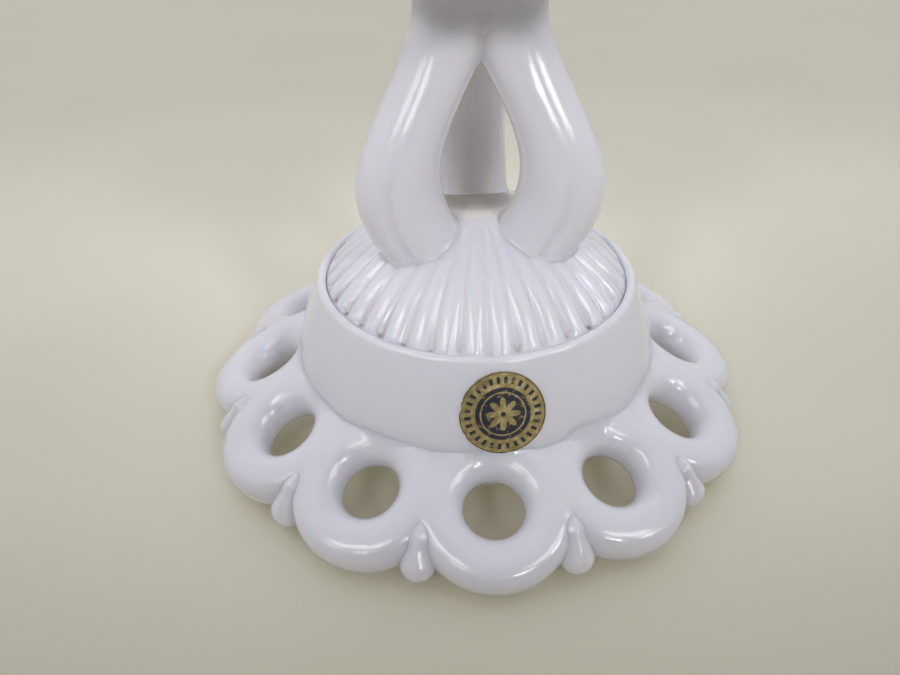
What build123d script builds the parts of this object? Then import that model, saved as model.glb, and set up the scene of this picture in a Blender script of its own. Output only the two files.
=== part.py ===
from build123d import *
import math
import os

os.makedirs("parts", exist_ok=True)

# ---------------------------------------------------------------------------
# Pressed milk-glass candlestick with a lace edge of rings and petals.
# Millimetres. Origin on the table under the centre of the foot, +Z up,
# -Y is the front (the side that carries the foil label).
# ---------------------------------------------------------------------------

# lace edge: twelve tilted rings in a circle, joined by a conical web
RING_COUNT = 12
RING_CIRCLE_R = 52.1        # circle through the ring centres
RING_MAJOR = 11.9           # centreline radius of one ring's tube
RING_TUBE = 5.4             # tube radius
RING_TILT = 23.4            # outward droop of each ring, degrees
RING_Z = 10.0               # height of the ring centres
WEB_HALF = 4.6              # half thickness of the web between the rings

# petals between the rings
PETAL_IN = (57.0, 8.8, 2.4)     # radius, height, bead radius at the inner end
PETAL_OUT = (63.2, 5.1, 3.1)    # the same at the outer end

# foot drum: outside profile (radius, height)
RIM_Z = 39.5
RIM_R = 38.4
DRUM_FOOT_Z = 9.5
DRUM_SEAT_R = 35.6          # the dome is seated in this bore
DRUM_SEAT_Z = 32.5
DRUM_BORE_R = 38.4
LEDGE_Z = 37.0

# reeded dome
DOME_RISE = 16.4            # apex above the rim
REED_COUNT = 36
REED_TUBE = 3.1             # section radius of a reed
REED_START_R = 9.0
REED_END_R = 35.3           # rounded ends of the reeds
DOME_WALL = 6.0

# openwork stem: three legs, sections (height, centre radius, half depth, half width)
LEG_ANGLES = {"stem_leg_rear": 90.0, "stem_leg_right": -30.0, "stem_leg_left": 210.0}
LEG_TOP_Z = 97.8
LEG_SECTIONS = [
    (40.0, 4.4, 9.2, 9.3),
    (46.0, 11.2, 10.3, 9.4),
    (51.0, 15.0, 10.4, 9.2),
    (57.5, 18.4, 10.1, 8.9),
    (67.5, 20.2, 9.2, 8.6),
    (77.5, 17.0, 8.2, 8.4),
    (87.5, 11.1, 8.1, 8.1),
    (98.4, 5.9, 8.7, 7.9),
]

# neck under the pan
NECK_R = 13.7
NECK_TOP_Z = 104.5

# drip pan
PAN_R = 43.6
PAN_LOBES = 12
PAN_LOBE_R = 11.6
PAN_TOP_Z = 120.0
PAN_BOSS_Z = 109.5

# candle cup: socket for a standard 7/8 in (22.2 mm) taper candle
SOCKET_R = 11.15
SOCKET_DEPTH = 24.0
CUP_TOP_Z = 136.0
CUP_LIP_R = 17.4

# round foil label stuck on the front of the drum
LABEL_R = 9.2
LABEL_Z = 28.5
LABEL_AZIMUTH = -86.7
LABEL_THICK = 0.25


def rz(shape, deg):
    return Rot(0, 0, deg) * shape


def turned(face):
    """Full turn of an XZ profile about Z."""
    return revolve(face, axis=Axis.Z)


def keep_largest(shape):
    return max(shape.solids(), key=lambda s: s.volume)


def largest_common(a, b):
    out = a.intersect(b)
    if isinstance(out, (list, ShapeList)):
        return max([s for x in out for s in x.solids()], key=lambda s: s.volume)
    return keep_largest(out)


# ---- drum -----------------------------------------------------------------
DRUM_OUT = [(44.3, DRUM_FOOT_Z), (44.9, 14.0), (44.95, 18.0), (44.1, 23.5),
            (42.25, 29.5), (40.3, 34.5), (38.75, 38.2)]


def drum_outside(grow=0.0, inner=0.0, z_low=None):
    """Solid of revolution inside the drum's outer surface, grown outwards."""
    pts = [(r + grow, z) for r, z in DRUM_OUT]
    with BuildPart() as bp:
        with BuildSketch(Plane.XZ):
            with BuildLine():
                s = Spline(*pts)
                top = (37.4, RIM_Z)
                a = ThreePointArc(s @ 1, (38.35 + grow, 39.2), top)
                Polyline(top, (inner, RIM_Z), (inner, DRUM_FOOT_Z), pts[0])
            make_face()
        revolve(axis=Axis.Z)
    return bp.part.solid()


def make_drum():
    outer = drum_outside()
    cut_pts = [(DRUM_BORE_R, DRUM_FOOT_Z - 1), (38.9, 16.0), (38.0, 23.5), (36.4, 29.0)]
    with BuildPart() as bp:
        with BuildSketch(Plane.XZ):
            with BuildLine():
                s = Spline(*cut_pts)
                Polyline(s @ 1, (DRUM_SEAT_R, DRUM_SEAT_Z), (DRUM_SEAT_R, LEDGE_Z),
                         (36.2, LEDGE_Z + 0.3), (36.4, 38.9), (37.1, RIM_Z), (37.1, RIM_Z + 2),
                         (0, RIM_Z + 2), (0, DRUM_FOOT_Z - 1), s @ 0)
            make_face()
        revolve(axis=Axis.Z)
    return (outer - bp.part.solid()).solid()


# ---- dome -----------------------------------------------------------------
DOME_APEX = RIM_Z + DOME_RISE
CREST_R = 47.2                       # sphere through the reed crests
CREST_C = DOME_APEX - CREST_R        # its centre height


def crest_z(r):
    return CREST_C + math.sqrt(CREST_R ** 2 - r ** 2)


def cap_point(r, depth):
    """Point of the plain cap under the reeds, a given depth below their crests."""
    return (r, CREST_C + math.sqrt((CREST_R - depth) ** 2 - r * r))


def make_dome(pads):
    top = [cap_point(r, d) for r, d in
           ((0.0, 0.12), (8.0, 0.12), (14.0, 0.35), (20.0, 0.9), (27.0, 1.7), (33.0, 2.3))]
    with BuildPart() as bp:
        with BuildSketch(Plane.XZ):
            with BuildLine():
                t = Spline(*top, tangents=[(1, 0), (1, -0.85)])
                Polyline(t @ 1, (34.2, LEDGE_Z), (DRUM_SEAT_R, LEDGE_Z),
                         (DRUM_SEAT_R, DRUM_SEAT_Z), (31.8, DRUM_SEAT_Z))
                u = Spline((31.8, DRUM_SEAT_Z), (24.0, 42.6), (12.0, 48.3),
                           (0.0, DOME_APEX - DOME_WALL), tangents=[(-0.75, 1), (-1, 0)])
                Line(u @ 1, t @ 0)
            make_face()
        revolve(axis=Axis.Z)
    cap = bp.part.solid()
    # one reed: a tube bent along the meridian, closed by a ball at its lower end
    path_r = CREST_R - REED_TUBE
    a_in = math.degrees(math.asin(REED_START_R / path_r))
    a_out = math.degrees(math.asin((REED_END_R - REED_TUBE) / path_r))

    def on_path(deg):
        q = math.radians(deg)
        return (path_r * math.sin(q), 0, CREST_C + path_r * math.cos(q))

    q = math.radians(a_in)
    start = Plane(origin=on_path(a_in), x_dir=(0, 1, 0), z_dir=(math.cos(q), 0, -math.sin(q)))
    tube = revolve(start * Circle(REED_TUBE), axis=Axis((0, 0, CREST_C), (0, 1, 0)),
                   revolution_arc=a_out - a_in)
    reed = tube.fuse(Pos(*on_path(a_out)) * Sphere(REED_TUBE)).solid()
    step = 360.0 / REED_COUNT
    reeds = [rz(reed, -90.0 + step / 2 + step * i) for i in range(REED_COUNT)]
    return cap.fuse(*reeds, *pads).solid()


# ---- lace edge ------------------------------------------------------------
def ring_plane():
    """Plane of ring 0 (on -Y), tilted so that its outer side hangs down."""
    t = math.radians(RING_TILT)
    z_dir = Vector(0, -math.sin(t), math.cos(t))
    return Plane(origin=(0, -RING_CIRCLE_R, RING_Z), x_dir=(1, 0, 0), z_dir=z_dir)


def make_lace_edge(drum_fill):
    t = math.tan(math.radians(RING_TILT))
    c = math.cos(math.radians(RING_TILT))
    r0, r1 = 41.0, 57.5
    zc0, zc1 = RING_Z + (RING_CIRCLE_R - r0) * t, RING_Z + (RING_CIRCLE_R - r1) * t
    hz = WEB_HALF / c
    with BuildPart() as bp:
        with BuildSketch(Plane.XZ):
            with BuildLine():
                Polyline((r0, zc0 - hz), (r1, zc1 - hz), (r1, zc1 + hz), (r0, zc0 + hz), (r0, zc0 - hz))
            make_face()
        revolve(axis=Axis.Z)
    web = bp.part.solid()
    pl = ring_plane()
    step = 360.0 / RING_COUNT
    hole = pl * Cylinder(RING_MAJOR - 1.0, 30)
    ring = pl * Torus(RING_MAJOR, RING_TUBE)
    web = web.cut(*[rz(hole, step * i) for i in range(RING_COUNT)])
    rings = ring.fuse(*[rz(ring, step * i) for i in range(1, RING_COUNT)])
    body = rings.fuse(*web.solids())
    body = body.cut(drum_fill)
    body = body.cut(Pos(0, 0, -25) * Cylinder(90, 50))
    body = body.cut(Pos(0, 0, 6) * Cylinder(DRUM_BORE_R, 20))
    return keep_largest(body)


def make_petals(edge):
    r1, z1, b1 = PETAL_IN
    r2, z2, b2 = PETAL_OUT
    length = math.hypot(r2 - r1, z2 - z1)
    # turned bead: profile in its own XZ plane, axis along +Z
    with BuildPart() as bp:
        with BuildSketch(Plane.XZ):
            with BuildLine():
                k = math.sqrt(0.5)
                ThreePointArc((0, -b1), (b1 * k, -b1 * k), (b1, 0))
                Line((b1, 0), (b2, length))
                ThreePointArc((b2, length), (b2 * k, length + b2 * k), (0, length + b2))
                Line((0, length + b2), (0, -b1))
            make_face()
        revolve(axis=Axis.Z)
    bead = bp.part.solid()
    pl = Plane(origin=(0, -r1, z1), x_dir=(1, 0, 0), z_dir=Vector(0, -(r2 - r1), z2 - z1))
    bead = pl * bead
    step = 360.0 / RING_COUNT
    first = rz(bead, step / 2)
    # the part of one bead that stands clear of the lace edge, repeated
    piece = keep_largest(first.cut(edge))
    out = [rz(piece, step * i) for i in range(RING_COUNT)]
    return Compound(children=[s.solid() if hasattr(s, "solid") else s for s in out])


# ---- stem -----------------------------------------------------------------
def crest_ball(shrink=0.0):
    return Pos(0, 0, CREST_C) * Sphere(CREST_R - shrink)


def leg_blank():
    return loft([Pos(c, 0, z) * Ellipse(d, w) for z, c, d, w in LEG_SECTIONS]).solid()


def make_pads():
    """Where a leg lands, the grooves of the dome are filled up to the reed crests."""
    pad = largest_common(leg_blank(), crest_ball()).cut(crest_ball(4.0))
    pad = keep_largest(pad)
    return [rz(pad, angle) for angle in LEG_ANGLES.values()]


def make_leg(angle):
    leg = leg_blank().cut(Pos(0, 0, LEG_TOP_Z + 25) * Cylinder(80, 50), crest_ball())
    leg = keep_largest(leg)
    # each leg keeps to its own third of a turn, so the legs meet face to face
    half = 80.0 * math.tan(math.radians(60))
    third = extrude(make_face(Polyline((0, 0), (80, -half), (80, half), (0, 0))), 140)
    return rz(largest_common(leg, third), angle)


def make_neck():
    with BuildPart() as bp:
        with BuildSketch(Plane.XZ):
            with BuildLine():
                s = Spline((14.1, LEG_TOP_Z), (NECK_R, 99.6), (NECK_R + 0.1, 101.6), (14.6, NECK_TOP_Z))
                Polyline(s @ 1, (0, NECK_TOP_Z), (0, LEG_TOP_Z), s @ 0)
            make_face()
        revolve(axis=Axis.Z)
    return bp.part.solid()


# ---- drip pan and candle cup ------------------------------------------------
def make_pan():
    with BuildPart() as bp:
        with BuildSketch(Plane.XZ):
            with BuildLine():
                low = Spline((14.6, NECK_TOP_Z), (20.0, 105.7), (30.0, 109.4), (38.0, 113.3),
                             (42.4, 116.6), (PAN_R + 0.2, 119.0), tangents=[(1, 0.12), (0.35, 1)])
                rim = ThreePointArc(low @ 1, (42.9, PAN_TOP_Z), (41.6, 119.2))
                up = Spline(rim @ 1, (37.5, 116.8), (30.0, 113.4), (22.0, 110.7), (15.5, PAN_BOSS_Z))
                Polyline(up @ 1, (0, PAN_BOSS_Z), (0, NECK_TOP_Z), low @ 0)
            make_face()
        revolve(axis=Axis.Z)
    dish = bp.part.solid()
    # scalloped outline: a disc and a circle of overlapping lobes
    step = 360.0 / PAN_LOBES
    lobe_c = PAN_R - PAN_LOBE_R
    prism = Pos(0, 0, 112) * Cylinder(lobe_c + 2.0, 30)
    lobes = [rz(Pos(0, -lobe_c, 112) * Cylinder(PAN_LOBE_R, 30), step * i) for i in range(PAN_LOBES)]
    prism = prism.fuse(*lobes)
    return largest_common(dish, prism.solid())


def make_cup():
    with BuildPart() as bp:
        with BuildSketch(Plane.XZ):
            with BuildLine():
                foot = Spline((13.4, PAN_BOSS_Z), (14.2, 111.0), (13.6, 113.4), (14.3, 118.0),
                              (15.4, 124.0), (15.2, 129.0), (15.6, 132.0), (CUP_LIP_R, 134.6))
                lip = ThreePointArc(foot @ 1, (16.9, CUP_TOP_Z - 0.2), (15.4, CUP_TOP_Z))
                Polyline(lip @ 1, (12.4, CUP_TOP_Z), (SOCKET_R, CUP_TOP_Z - 1.2),
                         (SOCKET_R, CUP_TOP_Z - SOCKET_DEPTH), (0, CUP_TOP_Z - SOCKET_DEPTH),
                         (0, PAN_BOSS_Z), foot @ 0)
            make_face()
        revolve(axis=Axis.Z)
    return bp.part.solid()


# ---- foil label -------------------------------------------------------------
def make_label():
    skin = drum_outside(grow=LABEL_THICK).cut(drum_outside())
    a = math.radians(LABEL_AZIMUTH)
    lean = math.radians(24.0)          # the drum wall leans in by this much here
    n = Vector(math.cos(a) * math.cos(lean), math.sin(a) * math.cos(lean), math.sin(lean))
    c = Vector(42.6 * math.cos(a), 42.6 * math.sin(a), LABEL_Z)
    pl = Plane(origin=c, z_dir=n)
    punch = pl * Cylinder(LABEL_R, 16)
    return largest_common(skin, punch)


def main():
    drum_fill = drum_outside()
    edge = make_lace_edge(drum_fill)
    nodes = {
        "lace_edge": edge,
        "petals": make_petals(edge),
        "base_drum": make_drum(),
        "reeded_dome": make_dome(make_pads()),
        "stem_neck": make_neck(),
        "drip_pan": make_pan(),
        "candle_cup": make_cup(),
        "foil_label": make_label(),
    }
    for name, angle in LEG_ANGLES.items():
        nodes[name] = make_leg(angle)
    for name, shape in nodes.items():
        export_step(shape, os.path.join("parts", name + ".step"))
        print(name, len(shape.solids()), round(shape.volume, 1))


main()
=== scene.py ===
import math

import bpy
import numpy as np
from mathutils import Matrix, Vector


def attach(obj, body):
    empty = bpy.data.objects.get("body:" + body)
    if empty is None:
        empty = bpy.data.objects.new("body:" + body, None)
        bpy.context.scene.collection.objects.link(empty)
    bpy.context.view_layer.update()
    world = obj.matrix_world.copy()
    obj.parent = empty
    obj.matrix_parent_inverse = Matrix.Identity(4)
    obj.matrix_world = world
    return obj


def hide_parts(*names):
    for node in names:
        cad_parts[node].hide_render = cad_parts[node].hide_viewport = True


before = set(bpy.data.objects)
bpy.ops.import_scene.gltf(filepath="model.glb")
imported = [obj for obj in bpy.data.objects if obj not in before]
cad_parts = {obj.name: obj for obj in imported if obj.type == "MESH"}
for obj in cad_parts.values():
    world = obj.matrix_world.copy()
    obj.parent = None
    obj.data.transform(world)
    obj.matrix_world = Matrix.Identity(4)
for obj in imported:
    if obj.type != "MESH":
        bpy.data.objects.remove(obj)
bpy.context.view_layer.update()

MM = 0.001
RNG = np.random.default_rng(1875)

# ---------------------------------------------------------------------------
# Driving dimensions, millimetres, in the frame of the CAD model
# ---------------------------------------------------------------------------
RIM_Z = 39.5
RING_R, RING_Z, RING_MAJOR, RING_TUBE, RING_TILT = 52.1, 10.0, 11.9, 5.4, math.radians(23.4)
DRUM = np.array([(44.3, 9.5), (44.9, 14.0), (44.95, 18.0), (44.1, 23.5),
                 (42.25, 29.5), (40.3, 34.5), (38.75, 38.2)])
CREST_R = 47.2
CREST_C = RIM_Z + 16.4 - CREST_R
REED_TUBE = 3.1
REED_N = 36
LEDGE_Z = 37.0
REED_FOOT_Z = 38.5
LEG_Z = np.array([40.0, 46.0, 51.0, 57.5, 67.5, 77.5, 87.5, 98.4, 106.5])
LEG_C = np.array([4.4, 11.2, 15.0, 18.4, 20.2, 17.0, 11.1, 5.9, 5.4])
LEG_A = np.array([9.2, 10.3, 10.4, 10.1, 9.2, 8.2, 8.1, 8.6, 8.9])
LEG_B = np.array([9.3, 9.4, 9.2, 8.9, 8.6, 8.4, 8.1, 8.2, 8.6])
LEG_TOP = 97.8
LEGS = {"stem_leg_rear": 90.0, "stem_leg_right": -30.0, "stem_leg_left": 210.0}


# ---------------------------------------------------------------------------
# Small numeric tools
# ---------------------------------------------------------------------------
def cubic(xk, yk):
    """Natural cubic spline through the knots, as a function."""
    xk = np.asarray(xk, float)
    yk = np.asarray(yk, float)
    n = len(xk)
    h = np.diff(xk)
    A = np.zeros((n, n))
    b = np.zeros(n)
    A[0, 0] = A[-1, -1] = 1
    for i in range(1, n - 1):
        A[i, i - 1], A[i, i], A[i, i + 1] = h[i - 1], 2 * (h[i - 1] + h[i]), h[i]
        b[i] = 6 * ((yk[i + 1] - yk[i]) / h[i] - (yk[i] - yk[i - 1]) / h[i - 1])
    m = np.linalg.solve(A, b)

    def f(x):
        x = np.clip(x, xk[0], xk[-1])
        i = np.clip(np.searchsorted(xk, x) - 1, 0, n - 2)
        d = x - xk[i]
        e = xk[i + 1] - x
        return (m[i] * e ** 3 + m[i + 1] * d ** 3) / (6 * h[i]) + \
            (yk[i] / h[i] - m[i] * h[i] / 6) * e + (yk[i + 1] / h[i] - m[i + 1] * h[i] / 6) * d
    return f


def smin(a, b, k):
    h = np.clip(0.5 + 0.5 * (b - a) / k, 0, 1)
    return b * (1 - h) + a * h - k * h * (1 - h)


def smax(a, b, k):
    return -smin(-a, -b, k)


def step01(x, a, b):
    t = np.clip((x - a) / (b - a), 0, 1)
    return t * t * (3 - 2 * t)


def surface_nets(D, wrap=False):
    """Vertices (in index units) and quads of the zero level of D; wrap makes axis 1 periodic."""
    if wrap:
        D = np.concatenate([D, D[:, :1]], axis=1)
    nx, ny, nz = D.shape
    inside = D < 0
    cx, cy, cz = nx - 1, ny - 1, nz - 1
    total = np.zeros((cx, cy, cz, 3), np.float32)
    count = np.zeros((cx, cy, cz), np.int32)
    crossings = []
    for ax in range(3):
        s0 = [slice(None)] * 3
        s1 = [slice(None)] * 3
        s0[ax] = slice(0, -1)
        s1[ax] = slice(1, None)
        a, b = D[tuple(s0)], D[tuple(s1)]
        hit = inside[tuple(s0)] != inside[tuple(s1)]
        t = np.where(hit, a / np.where(hit, a - b, 1), 0)
        o = [k for k in range(3) if k != ax]
        idx = np.argwhere(hit)
        pos = idx.astype(np.float32)
        pos[:, ax] += t[hit]
        for du in (0, 1):
            for dv in (0, 1):
                c = idx.copy()
                c[:, o[0]] -= du
                c[:, o[1]] -= dv
                ok = (c[:, o[0]] >= 0) & (c[:, o[1]] >= 0) & (c[:, 0] < cx) & (c[:, 1] < cy) & (c[:, 2] < cz)
                np.add.at(total, tuple(c[ok].T), pos[ok])
                np.add.at(count, tuple(c[ok].T), 1)
                if wrap and ax != 1:
                    edge = (idx[:, 1] == 0) & (c[:, 1] < 0)
                    e = c[edge].copy()
                    p = pos[edge].copy()
                    e[:, 1] = cy - 1
                    p[:, 1] += cy
                    ok = (e[:, 0] >= 0) & (e[:, 2] >= 0) & (e[:, 0] < cx) & (e[:, 2] < cz)
                    # the last slice repeats the first, so these cells already hold it
                    del ok
        crossings.append((ax, o, idx, inside[tuple(s0)][hit]))
    vid = -np.ones((cx, cy, cz), np.int64)
    act = count > 0
    vid[act] = np.arange(act.sum())
    V = total[act] / count[act][:, None]
    quads = []
    for ax, o, idx, low_in in crossings:
        if wrap and ax != 1:
            keep = idx[:, 1] < cy
            idx, low_in = idx[keep], low_in[keep]
        c = []
        for du, dv in ((1, 1), (0, 1), (0, 0), (1, 0)):
            q = idx.copy()
            q[:, o[0]] -= du
            q[:, o[1]] -= dv
            if wrap:
                q[:, 1] %= cy
            c.append(q)
        ok = np.ones(len(idx), bool)
        for q in c:
            ok &= (q >= 0).all(1) & (q[:, 0] < cx) & (q[:, 1] < cy) & (q[:, 2] < cz)
        f = np.stack([vid[tuple(q[ok].T)] for q in c], 1)
        flip = low_in[ok] ^ (ax == 1)
        f[~flip] = f[~flip][:, ::-1]
        quads.append(f)
    return V, np.concatenate(quads)


def settle(P, f, steps=3, reach=0.3, eps=0.02):
    """Moves points onto the zero level of f along its gradient."""
    for _ in range(steps):
        v = f(P)
        g = np.stack([(f(P + d) - f(P - d)) / (2 * eps) for d in np.eye(3) * eps], -1)
        n2 = np.maximum((g ** 2).sum(-1), 1e-4)
        mv = -(v / n2)[:, None] * g
        ln = np.linalg.norm(mv, axis=1, keepdims=True)
        P = P + mv * np.minimum(1, reach / np.maximum(ln, 1e-9))
    return P


def iso_box(f, lo, hi, h):
    lo, hi = np.array(lo, float), np.array(hi, float)
    n = np.ceil((hi - lo) / h).astype(int) + 1
    ax = [lo[k] + h * np.arange(n[k]) for k in range(3)]
    G = np.stack(np.meshgrid(*ax, indexing="ij"), -1)
    D = f(G.reshape(-1, 3)).reshape(n)
    V, Q = surface_nets(D)
    return settle(lo + V * h, f, reach=0.5 * h), Q


def iso_ring(f, r, z, fold, per, h_r, h_z):
    """Zero level on a full circle from one sector: f has the given fold symmetry."""
    rr = np.arange(r[0], r[1] + h_r, h_r)
    zz = np.arange(z[0], z[1] + h_z, h_z)
    th = -math.pi / 2 - math.pi / fold + 2 * math.pi / fold * np.arange(per) / per
    R, T, Z = np.meshgrid(rr, th, zz, indexing="ij")
    P = np.stack([R * np.cos(T), R * np.sin(T), Z], -1)
    D = f(P.reshape(-1, 3)).reshape(R.shape)
    D = np.tile(D, (1, fold, 1))
    V, Q = surface_nets(D, wrap=True)
    r_ = rr[0] + V[:, 0] * h_r
    t_ = th[0] + V[:, 1] * 2 * math.pi / (fold * per)
    P = np.stack([r_ * np.cos(t_), r_ * np.sin(t_), zz[0] + V[:, 2] * h_z], -1)
    return settle(P, f, reach=0.5 * h_r), Q


def turned(rows, cols, z0_pole=None, closed=True):
    """Quads of a lathe grid: rows of points by columns round the axis, rows joined in a loop if closed."""
    i = np.arange(rows if closed else rows - 1)
    j = np.arange(cols)
    I, J = np.meshgrid(i, j, indexing="ij")
    I2, J2 = (I + 1) % rows, (J + 1) % cols
    return np.stack([I * cols + J, I * cols + J2, I2 * cols + J2, I2 * cols + J], -1).reshape(-1, 4)


def drop_on(f, x, y, z_top, steps=60):
    """Height of the surface f = 0 met first when falling from z_top."""
    z = np.full(x.shape, float(z_top))
    for _ in range(steps):
        z = z - 0.9 * f(np.stack([x, y, z], -1))
    return z


# ---------------------------------------------------------------------------
# Shape of the glass, as distance-like fields in millimetres
# ---------------------------------------------------------------------------
drum_r = cubic(DRUM[:, 1], DRUM[:, 0])


def polar(P, n, phase=0.0):
    """Radius and the angle from the middle of the nearest of n sectors, the first on -Y."""
    a = np.arctan2(P[..., 1], P[..., 0]) + math.pi / 2 - phase
    s = 2 * math.pi / n
    return np.hypot(P[..., 0], P[..., 1]), a - s * np.round(a / s)


def f_drum_side(P):
    r = np.hypot(P[..., 0], P[..., 1])
    z = P[..., 2]
    R = drum_r(z)
    slope = (drum_r(z + 0.2) - drum_r(z - 0.2)) / 0.4
    return (r - R) / np.sqrt(1 + slope ** 2)


def f_ring(r, a, z):
    x = r * np.cos(a) - RING_R
    y = r * np.sin(a)
    zz = z - RING_Z
    c, s = math.cos(RING_TILT), math.sin(RING_TILT)
    u = x * c - zz * s
    w = x * s + zz * c
    q = np.hypot(u, y) - RING_MAJOR
    # flat crown and a tight outer shoulder, round towards the hole and underneath
    aq, aw = np.maximum(np.abs(q), 1e-6), np.maximum(np.abs(w), 1e-6)
    p = np.where(q > 0, np.where(w > 0, 2.65, 2.15), np.where(w > 0, 2.2, 2.0))
    return (aq ** p + aw ** p) ** (1 / p) - RING_TUBE, np.hypot(u, y), w


def f_skirt(P):
    r, a = polar(P, 12)
    z = P[..., 2]
    a = np.abs(a)
    s12 = math.pi / 6
    d1, q1, w1 = f_ring(r, a, z)
    d2, q2, w2 = f_ring(r, a - s12, z)
    rings = smin(d1, d2, 0.9)
    c, s = math.cos(RING_TILT), math.sin(RING_TILT)
    wz = (r - RING_R) * s + (z - RING_Z) * c
    rad = (r - RING_R) * c - (z - RING_Z) * s
    web = np.maximum(np.maximum(wz - (RING_TUBE - 0.02), -wz - 4.3), np.maximum(rad - 3.4, -rad - 16))
    web = np.maximum(web, -(q1 - RING_MAJOR))
    web = np.maximum(web, -(q2 - RING_MAJOR))
    return smin(rings, web, 0.9)


def f_lace(P):
    side = smax(f_drum_side(P) + 0.12, 9.6 - P[..., 2], 0.5)
    _, at = polar(P, 12)
    k = 0.5 + 1.1 * (1 - step01(np.abs(at), 0.09, 0.19))
    d = smin(f_skirt(P), side, k)
    d = np.maximum(d, -(f_drum_side(P) + 1.3))
    r = np.hypot(P[..., 0], P[..., 1])
    d = np.maximum(d, 38.8 - r)
    d = smax(d, P[..., 2] - 22.5, 0.5)
    return smax(d, 0.02 - P[..., 2], 0.35)


def f_petal(P):
    """One petal bud, on the meridian through -Y turned by 15 degrees; here with that meridian on +X."""
    x, y, z = P[..., 0], P[..., 1], P[..., 2]

    def limb(A, B, ra, rb):
        ab = np.subtract(B, A)
        h = np.clip(((x - A[0]) * ab[0] + (z - A[1]) * ab[1]) / (ab @ ab), 0, 1)
        dx, dz = x - A[0] - h * ab[0], z - A[1] - h * ab[1]
        return np.sqrt(dx * dx + dz * dz + y * y) - (ra + (rb - ra) * h)

    body = smin(limb((56.4, 12.7), (60.1, 9.75), 1.2, 2.8), limb((60.1, 9.75), (63.1, 5.2), 2.8, 3.78), 1.0)
    ridge = 0.30 * np.exp(-(y / 0.9) ** 2) * step01(x, 58.0, 60.5) * (1 - step01(x, 64.5, 66.5)) * step01(z, 4.0, 6.5)
    return body - ridge


def f_dome(P):
    """Reeded dome above the ledge."""
    r, a = polar(P, REED_N, math.pi / REED_N)
    z = P[..., 2]
    along, side = r * np.cos(a), r * np.sin(a)
    path = CREST_R - REED_TUBE
    zc = z - CREST_C
    dist = np.hypot(along, zc)
    tube = np.hypot(dist - path, side) - REED_TUBE
    ex = 33.12
    ez = math.sqrt(path ** 2 - ex ** 2)
    ball = np.sqrt((along - ex) ** 2 + (zc - ez) ** 2 + side ** 2) - REED_TUBE
    past = (along * ez - zc * ex) > 0
    reed = np.where(past, ball, tube)
    # neighbour reeds, so that the grooves are smooth
    s36 = 2 * math.pi / REED_N
    al2, sd2 = r * np.cos(np.abs(a) - s36), r * np.sin(np.abs(a) - s36)
    d2 = np.hypot(al2, zc)
    tube2 = np.hypot(d2 - path, sd2) - REED_TUBE
    ball2 = np.sqrt((al2 - ex) ** 2 + (zc - ez) ** 2 + sd2 ** 2) - REED_TUBE
    reed2 = np.where((al2 * ez - zc * ex) > 0, ball2, tube2)
    reeds = smin(reed, reed2, np.interp(r, [8, 20], [0.06, 0.35]))
    depth = np.interp(r, [0, 5, 8, 14, 20, 27, 33, 36], [0.0, 0.1, 0.3, 0.75, 1.2, 1.85, 2.5, 2.9])
    cap = np.hypot(r, zc) - (CREST_R - depth)
    cap = np.maximum(cap, r - 34.9)
    body = smin(reeds, cap, 0.3)
    return smin(body, z - REED_FOOT_Z, 0.5)


leg_c, leg_a, leg_b = cubic(LEG_Z, LEG_C), cubic(LEG_Z, LEG_A), cubic(LEG_Z, LEG_B)


def core_r(z):
    """Round core that fills the valleys between the legs where they run together."""
    return np.interp(z, [91.0, 93.0, 95.0, 98.0, 102.0, 105.5], [-6.0, 2.0, 8.0, 10.9, 12.2, 13.4])



def f_leg(x, y, z):
    """One leg with its azimuth on +X."""
    c, a, b = leg_c(z), leg_a(z), leg_b(z)
    g = np.sqrt(((x - c) / a) ** 2 + (y / b) ** 2)
    slope = (leg_c(z + 0.3) - leg_c(z - 0.3)) / 0.6
    d = (g - 1) * np.minimum(a, b) / np.sqrt(1 + 0.6 * slope ** 2)
    # two soft creases down the lower half, one on each side of the outer lobe
    psi = np.arctan2(y / b, (x - c) / a)
    k = step01(z, 77.0, 62.0)
    for at in (math.radians(48.0), math.radians(-62.0)):
        s = 9.2 * (psi - at)
        d = d + 0.62 * k * np.exp(-(s / 1.15) ** 2) - 0.10 * k * np.exp(-((np.abs(s) - 3.4) / 1.9) ** 2)
    return d


def turn(P, deg):
    c, s = math.cos(math.radians(deg)), math.sin(math.radians(deg))
    return P[..., 0] * c + P[..., 1] * s, -P[..., 0] * s + P[..., 1] * c


def f_stem(P):
    """Three legs run together at the top, with a small fillet where they stand on the dome."""
    z = P[..., 2]
    k = 0.8 + 2.2 * step01(z, 82.0, 98.0)
    d = None
    for deg in LEGS.values():
        x, y = turn(P, deg)
        e = f_leg(x, y, z)
        d = e if d is None else smin(d, e, k)
    r = np.hypot(P[..., 0], P[..., 1])
    d = smin(d, r - core_r(z), 2.6)
    ball = np.sqrt(r * r + (z - CREST_C) ** 2)
    low = z < 62.0
    if low.any():
        q = P[low]
        skin = np.maximum(f_dome(q) + 0.30, d[low] - 3.2)
        d[low] = smin(d[low], skin, 1.7)
    d = smax(d, (CREST_R - 3.4) - ball, 0.3)
    return np.maximum(d, z - 105.2)


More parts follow.
